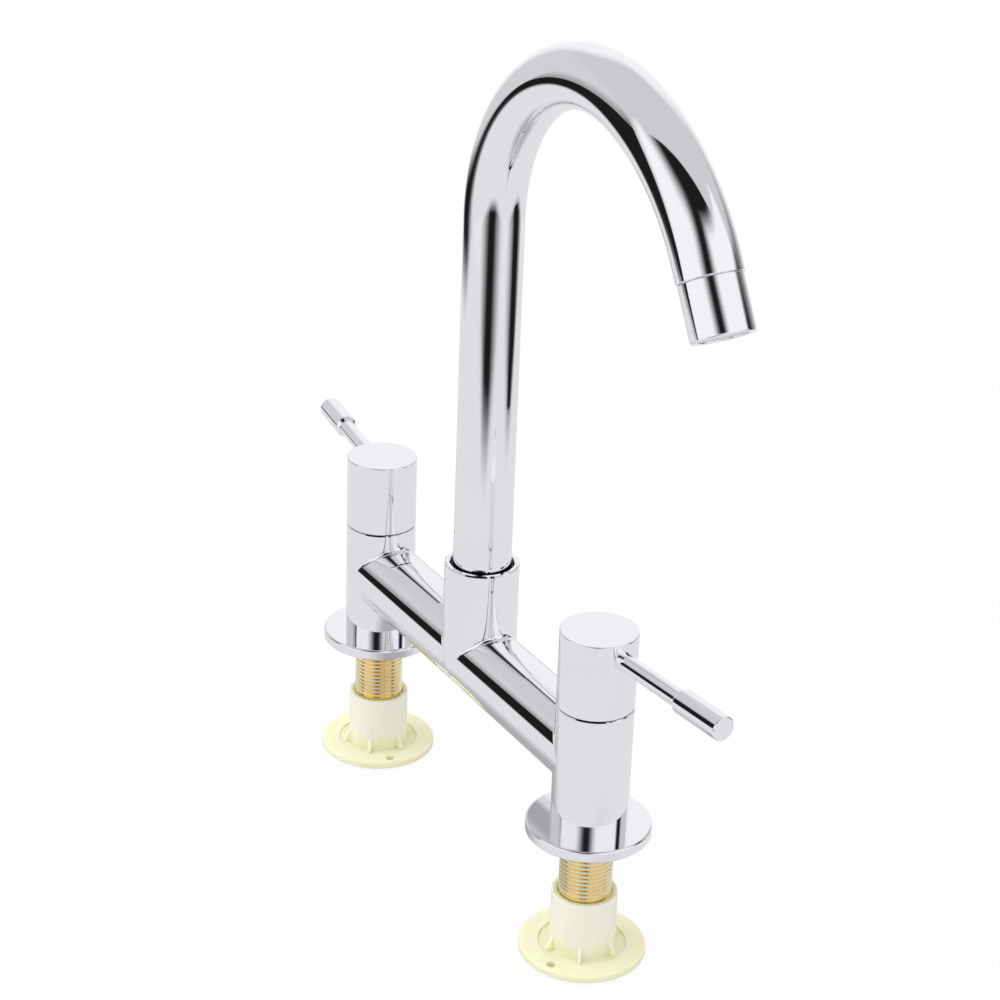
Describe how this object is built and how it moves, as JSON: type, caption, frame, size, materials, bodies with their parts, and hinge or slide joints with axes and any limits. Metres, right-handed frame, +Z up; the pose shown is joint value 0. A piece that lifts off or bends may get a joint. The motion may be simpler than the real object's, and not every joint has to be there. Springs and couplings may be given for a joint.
{
  "type": "two handle kitchen faucet",
  "caption": "Two handle bridge kitchen faucet with a swivelling gooseneck spout, pin-lever caps, deck flanges and threaded shanks with flanged plastic nuts.",
  "frame": {"origin": "midway between the two shanks on the deck plane, which is the underside of the flange gaskets", "axes": "+Z up, +X along the bridge from the hot side to the cold side, the user stands on the -Y side"},
  "size_m": [0.328, 0.0504, 0.3567],
  "materials": {
    "chrome": "polished chrome plate",
    "thread_brass": "bright machined thread",
    "machined_brass": "turned brass",
    "spring_steel": "plain steel",
    "cream_plastic": "moulded translucent cream plastic",
    "white_plastic": "moulded",
    "dark_plastic": "moulded bearing plastic",
    "white_ceramic": "lapped ceramic",
    "black_rubber": "moulded rubber"
  },
  "bodies": {
    "bridge": {"bridge_body": "chrome", "cold_flange_disc": "chrome", "cold_flange_gasket": "black_rubber", "cold_threaded_shank": "thread_brass", "cold_shank_seal": "black_rubber", "cold_cartridge_housing": "machined_brass", "cold_bonnet_seal": "black_rubber", "cold_seat_seal": "black_rubber", "cold_fixed_disc": "white_ceramic", "hot_flange_disc": "chrome", "hot_flange_gasket": "black_rubber", "hot_threaded_shank": "thread_brass", "hot_shank_seal": "black_rubber", "hot_cartridge_housing": "machined_brass", "hot_bonnet_seal": "black_rubber", "hot_seat_seal": "black_rubber", "hot_fixed_disc": "white_ceramic"},
    "cold_handle": {"cold_moving_disc": "white_ceramic", "cold_spindle": "machined_brass", "cold_spindle_seals": "black_rubber", "cold_thrust_washer": "white_plastic", "cold_circlip": "spring_steel", "cold_handle_cap": "chrome", "cold_lever_rod": "chrome", "cold_lever_grip": "chrome"},
    "hot_handle": {"hot_moving_disc": "white_ceramic", "hot_spindle": "machined_brass", "hot_spindle_seals": "black_rubber", "hot_thrust_washer": "white_plastic", "hot_circlip": "spring_steel", "hot_handle_cap": "chrome", "hot_lever_rod": "chrome", "hot_lever_grip": "chrome"},
    "spout": {"spout_tube": "chrome", "spout_nipple": "machined_brass", "spout_seals": "black_rubber", "spout_clip": "spring_steel", "glide_ring": "dark_plastic", "aerator_housing": "chrome", "aerator_insert": "white_plastic", "aerator_screen": "spring_steel", "aerator_gasket": "black_rubber"},
    "cold_nut": {"cold_mounting_nut": "cream_plastic"},
    "hot_nut": {"hot_mounting_nut": "cream_plastic"}
  },
  "joints": [
    {"name": "spout_swivel", "type": "hinge", "parent": "bridge", "child": "spout", "pos_m": [0, 0, 0.0615], "axis": [0, 0, 1], "continuous": true},
    {"name": "cold_lever", "type": "hinge", "parent": "bridge", "child": "cold_handle", "pos_m": [0.09, 0, 0.0806], "axis": [0, 0, -1], "range_deg": [0, 90]},
    {"name": "hot_lever", "type": "hinge", "parent": "bridge", "child": "hot_handle", "pos_m": [-0.09, 0, 0.0806], "axis": [0, 0, 1], "range_deg": [0, 90]},
    {"name": "cold_nut_travel", "type": "slide", "parent": "bridge", "child": "cold_nut", "axis": [0, 0, 1], "range_m": [0, 0.025]},
    {"name": "hot_nut_travel", "type": "slide", "parent": "bridge", "child": "hot_nut", "axis": [0, 0, 1], "range_m": [0, 0.025]}
  ]
}
